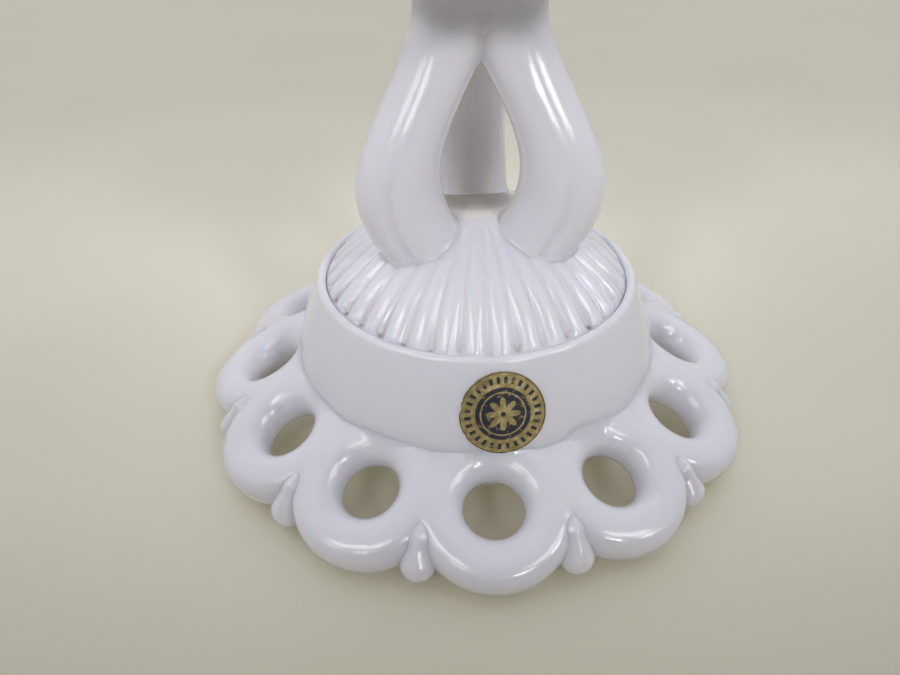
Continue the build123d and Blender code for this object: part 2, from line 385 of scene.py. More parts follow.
# ---------------------------------------------------------------------------
# Objects
# ---------------------------------------------------------------------------
def add_mesh(name, verts, quads, mats, tris=None, mat_of_face=None, attrs=None, uv=None, sharp=40.0):
    me = bpy.data.meshes.new(name)
    verts = np.asarray(verts, np.float64) * MM
    quads = np.asarray(quads, np.int64).reshape(-1, 4)
    tris = np.zeros((0, 3), np.int64) if tris is None else np.asarray(tris, np.int64).reshape(-1, 3)
    me.vertices.add(len(verts))
    me.vertices.foreach_set("co", verts.astype(np.float32).ravel())
    loops = np.concatenate([quads.ravel(), tris.ravel()]).astype(np.int32)
    me.loops.add(len(loops))
    me.loops.foreach_set("vertex_index", loops)
    nq, nt = len(quads), len(tris)
    me.polygons.add(nq + nt)
    start = np.concatenate([np.arange(nq) * 4, nq * 4 + np.arange(nt) * 3]).astype(np.int32)
    me.polygons.foreach_set("loop_start", start)
    if hasattr(me.polygons[0], "loop_total"):
        try:
            me.polygons.foreach_set("loop_total", np.concatenate([np.full(nq, 4), np.full(nt, 3)]).astype(np.int32))
        except Exception:
            pass
    for m in mats:
        me.materials.append(m)
    if mat_of_face is not None:
        me.polygons.foreach_set("material_index", np.asarray(mat_of_face, np.int32))
    me.update(calc_edges=True)
    me.validate()
    me.polygons.foreach_set("use_smooth", np.ones(len(me.polygons), bool))
    if attrs:
        for key, val in attrs.items():
            at = me.attributes.new(key, "FLOAT", "POINT")
            at.data.foreach_set("value", np.asarray(val, np.float32))
    if uv is not None:
        layer = me.uv_layers.new(name="UVMap")
        idx = np.empty(len(me.loops), np.int32)
        me.loops.foreach_get("vertex_index", idx)
        layer.data.foreach_set("uv", np.asarray(uv, np.float32)[idx].ravel())
    if sharp:
        me.set_sharp_from_angle(angle=math.radians(sharp))
    ob = bpy.data.objects.new(name, me)
    bpy.context.scene.collection.objects.link(ob)
    return ob


def outward(verts, quads):
    """Turns every face over if the mesh is inside out."""
    v = verts[quads]
    n = np.cross(v[:, 1] - v[:, 0], v[:, 2] - v[:, 0]) + np.cross(v[:, 2] - v[:, 0], v[:, 3] - v[:, 0])
    vol = (v.mean(1) * n).sum()
    return quads if vol > 0 else quads[:, ::-1]


def finish_piece(ob, nodes):
    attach(ob, "root")
    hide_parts(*nodes)


def spin(P, deg):
    c, s = math.cos(math.radians(deg)), math.sin(math.radians(deg))
    return np.stack([P[:, 0] * c - P[:, 1] * s, P[:, 0] * s + P[:, 1] * c, P[:, 2]], -1)


# ---------------------------------------------------------------------------
# Materials
# ---------------------------------------------------------------------------
def new_material(name):
    m = bpy.data.materials.new(name)
    m.use_nodes = True
    nt = m.node_tree
    b = nt.nodes["Principled BSDF"]
    return m, nt, b


def node(nt, kind, **kw):
    n = nt.nodes.new(kind)
    for k, v in kw.items():
        setattr(n, k, v)
    return n


def ramp(nt, stops, mode="LINEAR"):
    n = nt.nodes.new("ShaderNodeValToRGB")
    n.color_ramp.interpolation = mode
    el = n.color_ramp.elements
    while len(el) > 1:
        el.remove(el[-1])
    el[0].position, el[0].color = stops[0][0], stops[0][1]
    for p, c in stops[1:]:
        e = el.new(p)
        e.color = c
    return n


def milk_glass(name, grime_and_shade=False):
    m, nt, b = new_material(name)
    L = nt.links
    tc = node(nt, "ShaderNodeTexCoord")
    cloud = node(nt, "ShaderNodeTexNoise")
    cloud.inputs["Scale"].default_value = 38.0
    cloud.inputs["Detail"].default_value = 3.0
    L.new(tc.outputs["Object"], cloud.inputs["Vector"])
    tint = ramp(nt, [(0.30, (0.790, 0.784, 0.862, 1)), (0.70, (0.825, 0.820, 0.895, 1))])
    L.new(cloud.outputs["Fac"], tint.inputs["Fac"])
    colour = tint.outputs["Color"]
    # faint dust and handling marks
    dust = node(nt, "ShaderNodeTexNoise")
    dust.inputs["Scale"].default_value = 520.0
    dust.inputs["Detail"].default_value = 5.0
    dust.inputs["Roughness"].default_value = 0.7
    L.new(tc.outputs["Object"], dust.inputs["Vector"])
    dr = ramp(nt, [(0.66, (0, 0, 0, 1)), (0.78, (1, 1, 1, 1))])
    L.new(dust.outputs["Fac"], dr.inputs["Fac"])
    mx = node(nt, "ShaderNodeMix", data_type="RGBA")
    sc = node(nt, "ShaderNodeMath", operation="MULTIPLY")
    sc.inputs[1].default_value = 0.06
    L.new(dr.outputs["Color"], sc.inputs[0])
    L.new(sc.outputs[0], mx.inputs["Factor"])
    L.new(colour, mx.inputs["A"])
    mx.inputs["B"].default_value = (0.46, 0.42, 0.34, 1)
    colour = mx.outputs["Result"]
    if grime_and_shade:
        # this attribute holds real brown dirt at the ends of the reed grooves and also painted shade: darker grooves
        # near the rim, dark feet of the legs inside the cage, dark valleys in the neck
        at = node(nt, "ShaderNodeAttribute", attribute_name="grime_and_shade")
        spots = node(nt, "ShaderNodeTexNoise")
        spots.inputs["Scale"].default_value = 620.0
        spots.inputs["Detail"].default_value = 4.0
        L.new(tc.outputs["Object"], spots.inputs["Vector"])
        sr = ramp(nt, [(0.34, (0.35, 0.35, 0.35, 1)), (0.58, (1, 1, 1, 1))])
        L.new(spots.outputs["Fac"], sr.inputs["Fac"])
        mul = node(nt, "ShaderNodeMath", operation="MULTIPLY", use_clamp=True)
        L.new(at.outputs["Fac"], mul.inputs[0])
        L.new(sr.outputs["Color"], mul.inputs[1])
        gc = ramp(nt, [(0.0, (0.55, 0.47, 0.32, 1)), (0.35, (0.33, 0.26, 0.16, 1)), (0.9, (0.10, 0.08, 0.05, 1))])
        L.new(mul.outputs[0], gc.inputs["Fac"])
        mg = node(nt, "ShaderNodeMix", data_type="RGBA")
        L.new(mul.outputs[0], mg.inputs["Factor"])
        L.new(colour, mg.inputs["A"])
        L.new(gc.outputs["Color"], mg.inputs["B"])
        colour = mg.outputs["Result"]
        # painted shade carried by a vertex attribute: warm cream where it is weak, dark brown-grey where it is strong;
        # it stands in for the shade inside the cage of legs and on the top of the dome under them
        so = node(nt, "ShaderNodeAttribute", attribute_name="painted_shade")
        ms = node(nt, "ShaderNodeMix", data_type="RGBA")
        L.new(so.outputs["Fac"], ms.inputs["Factor"])
        L.new(colour, ms.inputs["A"])
        shade_tint = ramp(nt, [(0.0, (0.74, 0.62, 0.40, 1)), (0.36, (0.66, 0.55, 0.36, 1)), (0.60, (0.22, 0.19, 0.135, 1))])
        L.new(so.outputs["Fac"], shade_tint.inputs["Fac"])
        L.new(shade_tint.outputs["Color"], ms.inputs["B"])
        colour = ms.outputs["Result"]
    L.new(colour, b.inputs["Base Color"])
    # gloss: fire polish with slight handling haze
    rough = node(nt, "ShaderNodeTexNoise")
    rough.inputs["Scale"].default_value = 70.0
    rough.inputs["Detail"].default_value = 4.0
    L.new(tc.outputs["Object"], rough.inputs["Vector"])
    rr = node(nt, "ShaderNodeMapRange")
    rr.inputs["To Min"].default_value = 0.10
    rr.inputs["To Max"].default_value = 0.18
    L.new(rough.outputs["Fac"], rr.inputs["Value"])
    gloss = rr.outputs["Result"]
    if grime_and_shade:
        # where the painted shade lies the gloss is dulled and the coat thinned, so lamps show less there
        dull = node(nt, "ShaderNodeMath", operation="MULTIPLY_ADD", use_clamp=True)
        L.new(so.outputs["Fac"], dull.inputs[0])
        dull.inputs[1].default_value = 1.1
        L.new(gloss, dull.inputs[2])
        gloss = dull.outputs[0]
        cw = node(nt, "ShaderNodeMath", operation="MULTIPLY_ADD", use_clamp=True)
        L.new(so.outputs["Fac"], cw.inputs[0])
        cw.inputs[1].default_value = -0.7
        cw.inputs[2].default_value = 0.25
        L.new(cw.outputs[0], b.inputs["Coat Weight"])
    else:
        b.inputs["Coat Weight"].default_value = 0.25
    L.new(gloss, b.inputs["Roughness"])
    b.inputs["IOR"].default_value = 1.5
    b.inputs["Subsurface Weight"].default_value = 0.65
    b.inputs["Subsurface Radius"].default_value = (1.0, 0.86, 0.70)
    b.inputs["Subsurface Scale"].default_value = 0.0032
    b.inputs["Coat Roughness"].default_value = 0.06
    # pressed glass skin: long soft waves and very fine orange peel
    wave = node(nt, "ShaderNodeTexNoise")
    wave.inputs["Scale"].default_value = 120.0
    wave.inputs["Detail"].default_value = 2.0
    L.new(tc.outputs["Object"], wave.inputs["Vector"])
    fine = node(nt, "ShaderNodeTexNoise")
    fine.inputs["Scale"].default_value = 850.0
    fine.inputs["Detail"].default_value = 3.0
    L.new(tc.outputs["Object"], fine.inputs["Vector"])
    b1 = node(nt, "ShaderNodeBump")
    b1.inputs["Strength"].default_value = 0.35
    b1.inputs["Distance"].default_value = 0.00030
    L.new(wave.outputs["Fac"], b1.inputs["Height"])
    b2 = node(nt, "ShaderNodeBump")
    b2.inputs["Strength"].default_value = 0.60
    b2.inputs["Distance"].default_value = 0.00009
    L.new(fine.outputs["Fac"], b2.inputs["Height"])
    L.new(b1.outputs["Normal"], b2.inputs["Normal"])
    L.new(b2.outputs["Normal"], b.inputs["Normal"])
    return m


GLASS = milk_glass("milk_glass")
GLASS_DIRT_AND_SHADE = milk_glass("milk_glass_reeds", grime_and_shade=True)


def foil_material():
    m, nt, b = new_material("gold_foil_label")
    L = nt.links
    uv = node(nt, "ShaderNodeUVMap", uv_map="UVMap")
    sep = node(nt, "ShaderNodeSeparateXYZ")
    L.new(uv.outputs["UV"], sep.inputs["Vector"])

    def math_(op, a, c=None, clamp=False):
        n = node(nt, "ShaderNodeMath", operation=op, use_clamp=clamp)
        for i, v in enumerate((a, c)):
            if v is None:
                continue
            if isinstance(v, (int, float)):
                n.inputs[i].default_value = v
            else:
                L.new(v, n.inputs[i])
        return n.outputs[0]

    x = math_("SUBTRACT", sep.outputs["X"], 0.5)
    y = math_("SUBTRACT", sep.outputs["Y"], 0.5)
    r = math_("MULTIPLY", math_("SQRT", math_("ADD", math_("MULTIPLY", x, x), math_("MULTIPLY", y, y))), 2.0)
    ang = math_("ARCTAN2", y, x)
    # printed navy: outer hairline, centre disc, a ring of small dashes
    band = ramp(nt, [(0.0, (1, 1, 1, 1)), (0.635, (0, 0, 0, 1)), (0.965, (1, 1, 1, 1)), (0.985, (0, 0, 0, 1))], "CONSTANT")
    L.new(r, band.inputs["Fac"])
    # 28 dashes in the gold band
    saw = math_("FRACT", math_("MULTIPLY", ang, 28 / (2 * math.pi)))
    tri = math_("ABSOLUTE", math_("SUBTRACT", saw, 0.5))
    dash_a = math_("LESS_THAN", tri, 0.22)
    dash_r = math_("MULTIPLY", math_("GREATER_THAN", r, 0.735), math_("LESS_THAN", r, 0.885))
    dash = math_("MULTIPLY", dash_a, dash_r)
    # centre: a gold eight-petal rosette and a thin ring
    petal = math_("ABSOLUTE", math_("COSINE", math_("MULTIPLY", ang, 4.0)))
    edge = math_("ADD", 0.15, math_("MULTIPLY", petal, 0.25))
    rosette = math_("LESS_THAN", r, edge)
    eye = math_("LESS_THAN", r, 0.06)
    rosette = math_("MULTIPLY", rosette, math_("SUBTRACT", 1.0, eye))
    line = math_("MULTIPLY", math_("GREATER_THAN", r, 0.50), math_("LESS_THAN", r, 0.535))
    gold_in = math_("MAXIMUM", rosette, line)
    ink = math_("MAXIMUM", band.outputs["Color"], dash)
    ink = math_("MULTIPLY", ink, math_("SUBTRACT", 1.0, gold_in))
    # worn print
    tc = node(nt, "ShaderNodeTexCoord")
    wear = node(nt, "ShaderNodeTexNoise")
    wear.inputs["Scale"].default_value = 900.0
    wear.inputs["Detail"].default_value = 5.0
    L.new(tc.outputs["Object"], wear.inputs["Vector"])
    wr = ramp(nt, [(0.55, (1, 1, 1, 1)), (0.68, (0.35, 0.35, 0.35, 1))])
    L.new(wear.outputs["Fac"], wr.inputs["Fac"])
    ink = math_("MULTIPLY", ink, wr.outputs["Color"])
    tone = node(nt, "ShaderNodeTexNoise")
    tone.inputs["Scale"].default_value = 700.0
    tone.inputs["Detail"].default_value = 4.0
    L.new(tc.outputs["Object"], tone.inputs["Vector"])
    gold = ramp(nt, [(0.3, (0.33, 0.255, 0.10, 1)), (0.52, (0.47, 0.38, 0.17, 1)), (0.72, (0.68, 0.58, 0.31, 1))])
    L.new(tone.outputs["Fac"], gold.inputs["Fac"])
    mx = node(nt, "ShaderNodeMix", data_type="RGBA")
    L.new(ink, mx.inputs["Factor"])
    L.new(gold.outputs["Color"], mx.inputs["A"])
    mx.inputs["B"].default_value = (0.022, 0.022, 0.045, 1)
    L.new(mx.outputs["Result"], b.inputs["Base Color"])
    met = math_("SUBTRACT", 1.0, math_("MULTIPLY", ink, 0.9))
    met = math_("MULTIPLY", met, 0.75)
    L.new(met, b.inputs["Metallic"])
    rg = node(nt, "ShaderNodeMapRange")
    rg.inputs["To Min"].default_value = 0.30
    rg.inputs["To Max"].default_value = 0.50
    L.new(tone.outputs["Fac"], rg.inputs["Value"])
    L.new(rg.outputs["Result"], b.inputs["Roughness"])
    bp = node(nt, "ShaderNodeBump")
    bp.inputs["Strength"].default_value = 0.3
    bp.inputs["Distance"].default_value = 0.00005
    L.new(ink, bp.inputs["Height"])
    # rubbed and creased foil
    crease = node(nt, "ShaderNodeTexNoise")
    crease.inputs["Scale"].default_value = 420.0
    crease.inputs["Detail"].default_value = 4.0
    crease.inputs["Distortion"].default_value = 0.6
    L.new(tc.outputs["Object"], crease.inputs["Vector"])
    bq = node(nt, "ShaderNodeBump")
    bq.inputs["Strength"].default_value = 0.7
    bq.inputs["Distance"].default_value = 0.00022
    L.new(crease.outputs["Fac"], bq.inputs["Height"])
    L.new(bp.outputs["Normal"], bq.inputs["Normal"])
    L.new(bq.outputs["Normal"], b.inputs["Normal"])
    return m


# ---------------------------------------------------------------------------
# Lace edge: twelve rings run together
# ---------------------------------------------------------------------------
V, Q = iso_ring(f_lace, (37.6, 70.4), (-0.4, 23.4), 12, 52, 0.5, 0.5)
Q = outward(V, Q)
lace = add_mesh("lace_edge_glass", V, Q, [GLASS], sharp=55)
finish_piece(lace, ["lace_edge"])
print("lace", len(V), len(Q))

# petals
V1, Q1 = iso_box(f_petal, (51.0, -4.2, 1.2), (67.6, 4.2, 14.2), 0.34)
Q1 = outward(V1, Q1)
PV = [spin(V1, -90 + 15 + 30 * i) for i in range(12)]
PQ = [Q1 + len(V1) * i for i in range(12)]
petals = add_mesh("petal_buds", np.concatenate(PV), np.concatenate(PQ), [GLASS], sharp=0)
finish_piece(petals, ["petals"])

# ---------------------------------------------------------------------------
# Drum
# ---------------------------------------------------------------------------
COLS = 480


def lathe(name, profile, cols=COLS, mats=None, sharp=40.0, wave=None):
    th = 2 * math.pi * np.arange(cols) / cols
    prof = np.asarray(profile, float)
    r = prof[:, 0][:, None] * np.ones(cols)[None]
    z = prof[:, 1][:, None] * np.ones(cols)[None]
    if wave is not None:
        r, z = wave(r, z, th[None])
    P = np.stack([r * np.cos(th), r * np.sin(th), z], -1).reshape(-1, 3)
    Qd = turned(len(prof), cols)
    Qd = outward(P, Qd)
    return add_mesh(name, P, Qd, mats or [GLASS], sharp=sharp)


def smooth_path(points, step=0.5, round_r=0.0):
    """Resamples a closed polyline evenly."""
    P = np.asarray(points, float)
    out = []
    n = len(P)
    for i in range(n):
        a, b = P[i], P[(i + 1) % n]
        k = max(1, int(math.ceil(np.linalg.norm(b - a) / step)))
        for j in range(k):
            out.append(a + (b - a) * j / k)
    return np.array(out)


zs = np.linspace(9.5, 38.2, 60)
outer = np.stack([drum_r(zs), zs], -1)
rim = [(38.62, 38.6), (38.42, 38.98), (38.12, 39.28), (37.72, 39.46), (37.3, 39.5), (36.95, 39.42),
       (36.66, 39.18), (36.46, 38.8), (36.36, 38.3), (36.28, 37.7), (36.1, 37.25), (35.6, 37.0)]
inner = [(35.6, 34.8), (35.6, 32.5), (36.0, 30.6), (36.9, 27.5), (37.8, 24.0), (38.4, 20.0), (38.8, 16.0),
         (38.7, 12.5), (38.5, 9.5)]
foot = [(40.5, 9.5), (42.5, 9.5)]
lathe_profile = list(map(tuple, outer)) + rim + list(map(tuple, smooth_path(inner, 1.5)[:-6])) + foot
lathe_profile = list(map(tuple, outer)) + rim + inner + foot


def drum_wave(r, z, th):
    k = 0.05 * np.sin(3 * th + 0.7 + z * 0.05) + 0.035 * np.sin(7 * th + 2.1 - z * 0.11) + 0.02 * np.sin(11 * th + z * 0.2)
    return r + k * (r > 37) * np.clip((z - 8) / 4, 0, 1) - 0.02, z


drum = lathe("drum_glass", lathe_profile, wave=drum_wave, sharp=60)
finish_piece(drum, ["base_drum"])

# ---------------------------------------------------------------------------
# Reeded dome
# ---------------------------------------------------------------------------
PER = 20
cols = REED_N * PER
r_rows = np.concatenate([[0.8, 2.0, 3.2], np.arange(4.4, 30.0, 0.42), np.arange(30.0, 36.15, 0.16), [36.24]])
phi = -math.pi / REED_N + 2 * math.pi / REED_N * (np.arange(PER) + 0.5) / PER   # within one reed
base = -math.pi / 2 + math.pi / REED_N
Rg, Fg = np.meshgrid(r_rows, phi + base, indexing="ij")
zt = drop_on(f_dome, Rg * np.cos(Fg), Rg * np.sin(Fg), 58.0, 90)
zt = np.maximum(zt, REED_FOOT_Z)
ang = (base + phi[None] + 2 * math.pi / REED_N * np.arange(REED_N)[:, None]).ravel()
ztop = np.tile(zt, (1, REED_N))
rows, zrows = [], []
for i, r in enumerate(r_rows):
    rows.append(np.full(cols, r))
    zrows.append(ztop[i])
for r, z in [(36.2, 38.35), (36.03, 37.9), (35.57, 37.45), (35.57, 35.6), (35.57, 34.0), (35.57, 32.5), (33.7, 32.5), (31.8, 32.5), (29.6, 36.6), (26.8, 39.9),
             (24.0, 42.6), (20.0, 45.2), (16.0, 47.0), (12.0, 48.3), (8.0, 49.2), (4.0, 49.6), (0.8, 49.7)]:
    rows.append(np.full(cols, r))
    zrows.append(np.full(cols, z))
Rr, Zr = np.array(rows), np.array(zrows)
P = np.stack([Rr * np.cos(ang), Rr * np.sin(ang), Zr], -1).reshape(-1, 3)
Qd = turned(len(rows), cols, closed=False)
top_pole = len(P)
P = np.concatenate([P, [[0, 0, ztop[0].mean() + 0.01], [0, 0, 49.72]]])
j = np.arange(cols)
T1 = np.stack([np.full(cols, top_pole), j, (j + 1) % cols], -1)
last = (len(rows) - 1) * cols
T2 = np.stack([np.full(cols, top_pole + 1), last + (j + 1) % cols, last + j], -1)
# facing: the top must look up
a, b, c = P[Qd[0, 0]], P[Qd[0, 1]], P[Qd[0, 2]]
if np.cross(b - a, c - a)[2] < 0:
    Qd = Qd[:, ::-1]
a, b, c = P[T1[0]]
if np.cross(b - a, c - a)[2] < 0:
    T1 = T1[:, ::-1]
    T2 = T2[:, ::-1]
a, b, c = P[T2[0]]
if np.cross(b - a, c - a)[2] > 0:
    T2 = T2[:, ::-1]
# brown grime collects where the grooves run out, and painted shade darkens the grooves near the rim
r_all = np.hypot(P[:, 0], P[:, 1])
a_all = np.arctan2(P[:, 1], P[:, 0]) + math.pi / 2
k_all = np.round(a_all / (2 * math.pi / REED_N))
off = np.abs(a_all / (2 * math.pi / REED_N) - k_all) * 2        # 0 in a groove, 1 on a crest
amount = RNG.uniform(0.15, 1.0, REED_N + 2)
am = amount[(k_all.astype(int)) % REED_N]
shift = RNG.uniform(-0.5, 0.4, REED_N + 2)[(k_all.astype(int)) % REED_N]
grime_and_shade = 0.85 * am * np.exp(-((r_all - 35.0 - shift) / 0.6) ** 2) * np.exp(-(off / 0.28) ** 2)
# painted shade in the grooves near the rim, its strength varying from reed to reed
grime_and_shade = grime_and_shade + 0.16 * am * step01(r_all, 30.5, 34.5) * (1 - step01(off, 0.2, 0.8))
grime_and_shade = np.clip(grime_and_shade, 0, 1) * (P[:, 2] > 36.5)
# painted shade: the top of the dome, under the legs and the cup, is painted dark
painted_shade = 0.80 * (1 - step01(np.hypot(P[:, 0], P[:, 1] - 6.0), 5.0, 15.0)) * (P[:, 2] > 50.0)
dome = add_mesh("reeded_dome_glass", P, Qd, [GLASS_DIRT_AND_SHADE], tris=np.concatenate([T1, T2]), attrs={"grime_and_shade": grime_and_shade, "painted_shade": painted_shade}, sharp=75)
finish_piece(dome, ["reeded_dome"])

# ---------------------------------------------------------------------------
# Stem: legs and neck
# ---------------------------------------------------------------------------
V, Q = iso_box(f_stem, (-32.0, -32.0, 41.0), (32.0, 32.0, 105.9), 0.52)
Q = outward(V, Q)
# the faces that look at the axis, inside the cage of legs, are painted with shade, warm and a little darker
rs = np.hypot(V[:, 0], V[:, 1])
e = 0.05
nx = f_stem(V + [e, 0, 0]) - f_stem(V - [e, 0, 0])
ny = f_stem(V + [0, e, 0]) - f_stem(V - [0, e, 0])
facing = -(nx * V[:, 0] + ny * V[:, 1]) / (np.hypot(nx, ny) + 1e-9) / np.maximum(rs, 1e-6)
painted_shade = 0.22 * step01(facing, 0.05, 0.70) * (1 - step01(rs, 15.0, 21.0))
painted_shade = painted_shade * (1 - step01(V[:, 2], 93.0, 97.0))
az3 = np.degrees(np.arctan2(V[:, 1], V[:, 0])) + 90.0
az3 = az3 - 120.0 * np.round(az3 / 120.0)
# painted shade at the feet of the legs, on the faces that look inward near the axis
grime_and_shade = 0.55 * step01(facing, -0.1, 0.5) * (1 - step01(V[:, 2], 53.5, 57.5)) * (1 - step01(rs, 9.0, 13.0))
# painted shade down the valleys between the legs at the neck
grime_and_shade = grime_and_shade + 0.27 * np.exp(-(az3 / 9.0) ** 2) * step01(V[:, 2], 88.0, 95.0) * (1 - step01(V[:, 2], 97.0, 104.0)) * (rs > 2)
stem = add_mesh("stem_glass", V, Q, [GLASS_DIRT_AND_SHADE], attrs={"painted_shade": painted_shade, "grime_and_shade": grime_and_shade}, sharp=70)
finish_piece(stem, list(LEGS) + ["stem_neck"])
print("stem", len(V))

# ---------------------------------------------------------------------------
# Drip pan
# ---------------------------------------------------------------------------
PAN_R, LOBES = 43.6, 12


def scallop(th):
    """Edge radius of the pan."""
    s = 2 * math.pi / LOBES
    a = th + math.pi / 2
    a = a - s * np.round(a / s)
    c, R = 32.0, 11.55
    return c * np.cos(a) + np.sqrt(R ** 2 - (c * np.sin(a)) ** 2), a


low = cubic([14.6, 20.0, 30.0, 38.0, 42.0], [104.5, 105.6, 109.3, 113.2, 116.4])
up = cubic([13.0, 15.5, 22.0, 30.0, 37.5, 41.4], [109.5, 109.5, 110.7, 113.4, 116.9, 119.2])
rl = np.concatenate([np.linspace(0.5, 14.0, 8), np.linspace(14.6, 42.0, 52)])
ru = np.linspace(41.2, 13.0, 54)
prof = [(r, 104.5 if r < 14.6 else float(low(r))) for r in rl]
prof += [(42.9, 117.4), (43.5, 118.4), (43.6, 119.2), (43.3, 119.8), (42.7, 120.0), (42.0, 119.7)]
prof += [(r, float(up(r))) for r in ru]
prof += [(8.0, 109.5), (0.5, 109.5)]


def pan_wave(r, z, th):
    e, a = scallop(th)
    t = step01(r, 22.0, 43.6)
    k = 1 + (e / PAN_R - 1) * t
    # petals: shallow flutes that follow the lobes, and a lip that lifts between them
    lift = 0.9 * t ** 2 * (0.5 - 0.5 * np.cos(12 * (th + math.pi / 2)))
    return r * k, z + lift * 0.6 - 0.35 * t


pan = lathe("drip_pan_glass", prof, cols=600, wave=pan_wave, sharp=60)
finish_piece(pan, ["drip_pan"])

# ---------------------------------------------------------------------------
# Candle cup
# ---------------------------------------------------------------------------
cz = cubic([109.5, 111.0, 113.4, 118.0, 124.0, 129.0, 132.0, 134.6], [13.4, 14.2, 13.6, 14.3, 15.4, 15.2, 15.6, 17.2])
zs = np.linspace(109.5, 134.6, 60)
prof = [(0.5, 109.5), (7.0, 109.5), (12.0, 109.5)] + [(float(cz(z)), z) for z in zs]
prof += [(17.36, 135.1), (17.2, 135.6), (16.7, 135.92), (16.0, 136.0), (15.0, 136.0), (13.6, 136.0), (12.6, 135.9),
         (12.0, 135.6), (11.5, 135.1), (11.2, 134.5)]
prof += [(11.15, z) for z in np.linspace(134.0, 112.6, 30)] + [(10.9, 112.15), (10.4, 112.0), (7.0, 112.0), (3.0, 112.0), (0.5, 112.0)]


def cup_wave(r, z, th):
    out = (r > 12.9) & (z > 112) & (z < 134.0)
    body = step01(z, 113.5, 117.0) * (1 - step01(z, 128.0, 131.5))
    k = 0.38 * (np.abs(np.cos(6 * (th + math.pi / 2))) - 0.75)
    return r + np.where(out, k * body, 0.0), z


cup = lathe("candle_cup_glass", prof, cols=480, wave=cup_wave, sharp=50)
finish_piece(cup, ["candle_cup"])

# ---------------------------------------------------------------------------
# Foil label on the drum
# ---------------------------------------------------------------------------
FOIL = foil_material()
LAB_R, LAB_AZ, LAB_Z = 9.2, math.radians(-86.7), 28.5
rings, sect = 26, 96
pts, uvs = [], []
th = 2 * math.pi * np.arange(sect) / sect
edge_cut = np.ones(sect)
for t0, w, dpt in ((math.radians(172), 0.10, 0.045), (math.radians(160), 0.05, 0.03), (math.radians(-150), 0.05, 0.02)):
    edge_cut -= dpt * np.exp(-((np.angle(np.exp(1j * (th - t0)))) / w) ** 2)


def on_drum(u, v, lift):
    """u along the circumference, v up the slope, both in mm from the label's centre."""
    # arc length up the profile
    zz = np.linspace(LAB_Z - 14, LAB_Z + 11, 300)
    ds = np.hypot(np.diff(drum_r(zz)), np.diff(zz))
    s = np.concatenate([[0], np.cumsum(ds)])
    s = s - np.interp(LAB_Z, zz, s)
    z = np.interp(v, s, zz)
    r = drum_r(z)
    sl = (drum_r(z + 0.1) - drum_r(z - 0.1)) / 0.2
    nr, nz = 1 / np.sqrt(1 + sl ** 2), -sl / np.sqrt(1 + sl ** 2)
    az = LAB_AZ + u / drum_r(np.full_like(z, LAB_Z))
    rr = r + nr * lift
    return np.stack([rr * np.cos(az), rr * np.sin(az), z + nz * lift], -1)


for i in range(rings):
    q = (i + 1) / rings
    rad = LAB_R * q * (1 + (edge_cut - 1) * step01(q, 0.8, 1.0))
    lift = 0.16 + 0.0 * q
    u, v = rad * np.cos(th), rad * np.sin(th)
    pts.append(on_drum(u, v, lift))
    uvs.append(np.stack([0.5 + 0.5 * rad / LAB_R * np.cos(th), 0.5 + 0.5 * rad / LAB_R * np.sin(th)], -1))
rad = LAB_R * edge_cut
for lift in (0.08, -0.35):
    pts.append(on_drum(rad * np.cos(th) * 1.003, rad * np.sin(th) * 1.003, lift))
    uvs.append(np.stack([0.5 + 0.5 * rad / LAB_R * np.cos(th), 0.5 + 0.5 * rad / LAB_R * np.sin(th)], -1))
P = np.concatenate(pts)
UV = np.concatenate(uvs)
c_top = on_drum(np.zeros(1), np.zeros(1), 0.16)
c_bot = on_drum(np.zeros(1), np.zeros(1), -0.35)
n0 = len(P)
P = np.concatenate([P, c_top, c_bot])
UV = np.concatenate([UV, [[0.5, 0.5], [0.5, 0.5]]])
Qd = turned(rings + 2, sect, closed=False)
j = np.arange(sect)
T1 = np.stack([np.full(sect, n0), j, (j + 1) % sect], -1)
last = (rings + 1) * sect
T2 = np.stack([np.full(sect, n0 + 1), last + (j + 1) % sect, last + j], -1)
nrm = np.array([math.cos(LAB_AZ), math.sin(LAB_AZ), 0.4])
a, b, c = P[Qd[0, 0]], P[Qd[0, 1]], P[Qd[0, 2]]
if np.cross(b - a, c - a) @ nrm < 0:
    Qd = Qd[:, ::-1]
a, b, c = P[T1[0]]
if np.cross(b - a, c - a) @ nrm < 0:
    T1 = T1[:, ::-1]
a, b, c = P[T2[0]]
if np.cross(b - a, c - a) @ nrm > 0:
    T2 = T2[:, ::-1]
label = add_mesh("foil_label_print", P, Qd, [FOIL], tris=np.concatenate([T1, T2]), uv=UV, sharp=50)
finish_piece(label, ["foil_label"])

